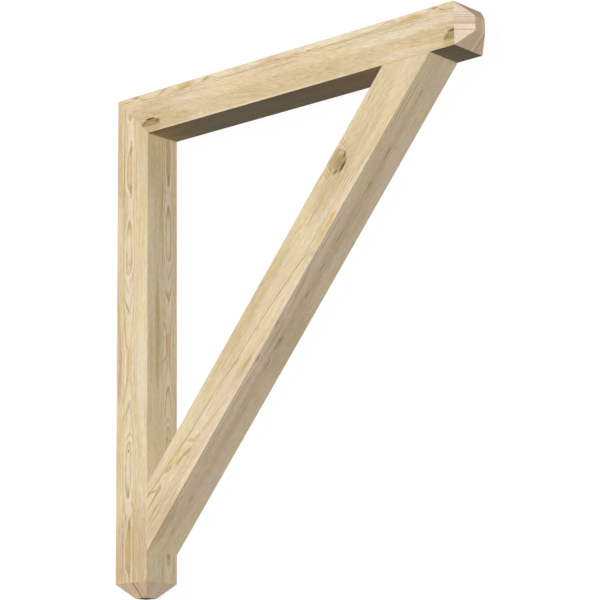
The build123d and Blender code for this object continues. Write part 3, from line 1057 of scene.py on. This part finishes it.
def grown_wood(tree, place, wood):
    """The colour of the wood on the sides of a timber, before the saw and the light have toned it."""
    rims, _ = grain_layer(tree, place, wood, "ragged_rims")
    ragged = wavering(tree, rims, RAGGED_REACH)
    _, patchy = grain_layer(tree, place, wood, "patches")
    knots = []
    for (along, across), (length, width) in wood["knots"]:
        start, end = on_face("near", along - length, across), on_face("near", along + length, across)
        knots.append(spindle(tree, place, ragged, start, end, width))
    distance = ring_distance(tree, place, wood, knots)
    pale, late, inside = ring_tones(tree, place, distance, wood, knots)

    colour = linear(EARLYWOOD_YELLOW)
    for clouds, tint in (("pink_clouds", EARLYWOOD_PINK), ("tan_clouds", EARLYWOOD_TAN)):
        _, share = grain_layer(tree, place, wood, clouds)
        colour = add_node(tree, "ShaderNodeMix", {"Factor": share, "A": colour, "B": linear(tint)}, **TINTING)
    colour = stroked(tree, colour, place, wood["zones"], ragged, patchy, inside)
    for share, tint in ((pale, RING_PALE), (late, LATEWOOD)):
        colour = add_node(tree, "ShaderNodeMix", {"Factor": share, "A": colour, "B": linear(tint)}, **TINTING)
    return stroked(tree, colour, place, wood["marks"], ragged, patchy, inside)


print("the rim of a stroke strays by up to", max(RAGGED_REACH) / 2, "of its radius")

# %% [markdown]
# Rough-sawn wood is matte. Over its colour lie long streaks, short dark dashes, and the torn fibres
# that the saw left. The fibres are also the height of a small bump, which breaks up the light as fuzz
# does on sawn wood.

# %% The material
FIBRE_HEIGHT, FIBRE_STRENGTH = 0.4 * MM, 0.25
ROUGHNESS, SPECULAR = 0.82, 0.2


def empty_tree(owner):
    """The node tree of a material or a world, with nothing in it yet."""
    owner.use_nodes = True
    owner.node_tree.nodes.clear()
    return owner.node_tree


def sawn_fir(name):
    """Unfinished rough-sawn fir, grown for one timber: pale, matte, with lines of latewood."""
    timber, wood = TIMBERS[name], WOOD[name]
    material = bpy.data.materials.new("rough_sawn_fir_" + name)
    tree = empty_tree(material)
    place = timber_measures(tree, timber)
    normal = add_node(tree, "ShaderNodeNewGeometry").outputs["Normal"]
    grain = (math.cos(timber["turn"]), math.sin(timber["turn"]), 0)
    right = (grain[1], -grain[0], 0)
    facing, rightwards = (
        add_node(tree, "ShaderNodeVectorMath", {0: normal, 1: axis}, operation="DOT_PRODUCT").outputs["Value"]
        for axis in (grain, right)
    )
    facing = add_node(tree, "ShaderNodeMath", {0: facing}, operation="ABSOLUTE")

    # Painted shade or painted light on the right face, then the end grain with painted shade on some facets.
    colour = paint_right_face_shading(tree, grown_wood(tree, place, wood), rightwards, wood)
    cut = end_grain(tree, place, normal, facing, rightwards, wood)
    at_end = add_node(tree, "ShaderNodeMapRange", {0: facing, **FACES_END}, **SMOOTH)
    colour = add_node(tree, "ShaderNodeMix", {"Factor": at_end, "A": colour, "B": cut}, **TINTING)

    for layer in ("streaks", "dashes", "fibres"):
        torn, shade = grain_layer(tree, place, wood, layer, wood["slant"])
        colour = add_node(tree, "ShaderNodeVectorMath", {0: colour, "Scale": shade}, operation="SCALE")

    bump = add_node(
        tree, "ShaderNodeBump", {"Height": torn, "Strength": FIBRE_STRENGTH, "Distance": FIBRE_HEIGHT},
    )
    surface = add_node(
        tree, "ShaderNodeBsdfPrincipled",
        {
            "Base Color": colour,
            "Roughness": ROUGHNESS,
            "Specular IOR Level": SPECULAR,
            "Normal": bump,
        },
    )
    add_node(tree, "ShaderNodeOutputMaterial", {"Surface": surface})
    return material


for name, timber in TIMBERS.items():
    timber["material"] = sawn_fir(name)
    print(timber["material"].name, len(timber["material"].node_tree.nodes), "nodes")

# %% [markdown]
# ## Sawing the timbers
#
# Each timber starts as an empty mesh with two modifiers. The node tree makes its shape. A narrow bevel
# then eases every edge, because no sawn edge is perfectly sharp, and a rounded one catches the light.
# The tree's inputs are set by their identifiers, which stay the same when an input is renamed. What
# the modifiers make is kept as a plain mesh, so the modifiers themselves can go.

# %% Saw the timbers
MESH_STEP = 3.2 * MM
RIPPLE_PITCH = 11 * MM
RIPPLE_DEPTH = 0.12 * MM
EASED_EDGE, EASED_STEPS = 0.5 * MM, 2
SHARP_FROM = math.radians(25)


def new_object(name, data):
    """A new object in the scene, at the origin."""
    made = bpy.data.objects.new(name, data)
    bpy.context.scene.collection.objects.link(made)
    return made


def sawn_timber(name):
    """One finished timber as a plain mesh that stands for its node."""
    timber = TIMBERS[name]
    piece = new_object(name + "_wood", bpy.data.meshes.new(name + "_blank"))
    sawing = piece.modifiers.new("sawing", "NODES")
    sawing.node_group = timber_tree
    values = {
        "Length": timber["length"],
        "Section": stock,
        "Bevel": timber["bevel"],
        "Start Cut": timber["start_cut"],
        "End Cut": timber["end_cut"],
        "Step": MESH_STEP,
        "Ripple Pitch": RIPPLE_PITCH,
        "Ripple Depth": RIPPLE_DEPTH,
        "Seed": WOOD[name]["seed"],
        "Start": timber["start"],
        "Turn": (0, 0, timber["turn"]),
        "Material": timber["material"],
    }
    for item in timber_tree.interface.items_tree:
        if item.in_out == "INPUT":
            sawing[item.identifier] = values[item.name]
    easing = piece.modifiers.new("easing", "BEVEL")
    easing.width = EASED_EDGE
    easing.segments = EASED_STEPS
    easing.limit_method = "ANGLE"
    easing.angle_limit = SHARP_FROM
    easing.harden_normals = True

    evaluated = piece.evaluated_get(bpy.context.evaluated_depsgraph_get())
    piece.data = bpy.data.meshes.new_from_object(evaluated)
    piece.data.name = name + "_wood"
    piece.modifiers.clear()
    piece.data.shade_smooth()

    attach(piece, "root")
    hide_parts(name)
    return piece


for name in TIMBERS:
    piece = sawn_timber(name)
    triangles = sum(len(p.vertices) - 2 for p in piece.data.polygons)
    print(piece.name, triangles, "triangles", [m.name for m in piece.data.materials])

# %% [markdown]
# ## Studio
#
# The bracket is shown as a catalogue shows it, on plain white with a faint shadow. Lamps strong enough
# to make paper white would bleach the pale wood. So the paper glows by itself where the camera sees
# it, and only a small share of it is lit, which is enough to carry the shadow. To light on its way to
# the wood the floor is dark. The faces that look down then stay as deep as they are on a wall, where
# nothing pale lies under them.

# %% White paper floor
FLOOR_HALF = 40.0
FLOOR_DROP = 0.5 * MM
PAPER = linear("#FFFFFF")
UNSEEN_FLOOR = linear("#404040")
GLOW_SHARE, GLOW_STRENGTH = 0.86, 1.03


def seen_rays(tree):
    """1 for what the camera sees, in a gloss or through glass too, and 0 for light on its way."""
    ray = add_node(tree, "ShaderNodeLightPath").outputs
    seen = ray["Is Camera Ray"]
    for kind in ("Is Glossy Ray", "Is Transmission Ray"):
        seen = add_node(tree, "ShaderNodeMath", {0: seen, 1: ray[kind]}, operation="ADD", use_clamp=True)
    return seen


def white_paper():
    """Matte paper: white to the camera with the bracket's shadow on it, and dark to other rays."""
    material = bpy.data.materials.new("white_paper")
    tree = empty_tree(material)
    lit = add_node(tree, "ShaderNodeBsdfDiffuse", {"Color": PAPER})
    glow = add_node(tree, "ShaderNodeEmission", {"Color": PAPER, "Strength": GLOW_STRENGTH})
    paper = add_node(tree, "ShaderNodeMixShader", {0: GLOW_SHARE, 1: lit, 2: glow})
    dark = add_node(tree, "ShaderNodeBsdfDiffuse", {"Color": UNSEEN_FLOOR})
    surface = add_node(tree, "ShaderNodeMixShader", {0: seen_rays(tree), 1: dark, 2: paper})
    add_node(tree, "ShaderNodeOutputMaterial", {"Surface": surface})
    return material


floor_mesh = bpy.data.meshes.new("floor")
corners = [(x * FLOOR_HALF, y * FLOOR_HALF, -FLOOR_DROP) for x, y in ((-1, -1), (1, -1), (1, 1), (-1, 1))]
floor_mesh.from_pydata(corners, [], [(0, 1, 2, 3)])
floor_mesh.materials.append(white_paper())
floor = new_object("floor", floor_mesh)
print("floor:", 2 * FLOOR_HALF, "m square,", FLOOR_DROP / MM, "mm under the bracket")

# %% [markdown]
# The key lamp stands out from the wall on the camera's side. It lights the faces that the camera sees
# best and, a little less, those that look away from the wall. The fill is broad and weak and comes from
# the other side. The sky adds a little cool light all round, which is nearly all that reaches the
# underside of the beam. A lamp is given as the direction towards it, and the length of that direction
# is its strength: 1 makes a white sheet that faces it render white.

# %% World and lamps
SKY_COLOUR, SKY_STRENGTH = linear("#E6EEFF"), 0.092
LAMPS = {
    "key": {"towards": (0.555, -0.035, 0.62), "spread": 15},
    "fill": {"towards": (-0.26, 0.2, 0.29), "spread": 60},
}

world = bpy.data.worlds.new("studio")
bpy.context.scene.world = world
tree = empty_tree(world)
light = add_node(tree, "ShaderNodeBackground", {"Color": SKY_COLOUR, "Strength": SKY_STRENGTH})
white = add_node(tree, "ShaderNodeBackground", {"Color": PAPER, "Strength": 1.0})
sky = add_node(tree, "ShaderNodeMixShader", {0: seen_rays(tree), 1: light, 2: white})
add_node(tree, "ShaderNodeOutputWorld", {"Surface": sky})

for name, lamp in LAMPS.items():
    direction = Vector(lamp["towards"])
    data = bpy.data.lights.new(name, "SUN")
    data.energy = math.pi * direction.length
    data.angle = math.radians(lamp["spread"])
    sun = new_object(name, data)
    sun.rotation_mode = "QUATERNION"
    sun.rotation_quaternion = direction.to_track_quat("Z", "Y")
    print(name, "lamp:", round(direction.length, 2), "of white,", lamp["spread"], "degrees wide")

# %% [markdown]
# ## Camera
#
# A long lens from well back, as for a catalogue, so the timbers hardly converge. Its place, aim, roll
# and focal length were solved from the bracket's corners in the photograph. Two cross products make a
# level camera that looks at the aim, and the roll then tips it by less than a degree.

# %% Camera
CAMERA_PLACE = Vector((3.4517, -1.2360, 4.0507))
CAMERA_AIM = Vector((0.0041, 0.0285, 0.0508))
CAMERA_ROLL = math.radians(0.726)
CAMERA_LENS, CAMERA_SENSOR = 143.33, 36.0
CAMERA_SIGHT = 4 * FLOOR_HALF

forward = (CAMERA_AIM - CAMERA_PLACE).normalized()
level_right = forward.cross(Vector((0, 1, 0))).normalized()
level_up = level_right.cross(forward)
camera_up = level_up * math.cos(CAMERA_ROLL) + level_right * math.sin(CAMERA_ROLL)
camera_right = forward.cross(camera_up)

camera_data = bpy.data.cameras.new("camera")
camera_data.lens = CAMERA_LENS
camera_data.sensor_width = CAMERA_SENSOR
camera_data.clip_end = CAMERA_SIGHT
camera = new_object("camera", camera_data)
turn = Matrix((camera_right, camera_up, -forward)).transposed().to_4x4()
camera.matrix_world = Matrix.Translation(CAMERA_PLACE) @ turn
bpy.context.scene.camera = camera
bpy.context.scene.view_settings.view_transform = "Standard"
distance = (CAMERA_AIM - CAMERA_PLACE).length
print(f"camera: {distance:.2f} m away, {math.degrees(camera_data.angle):.1f} degrees wide")
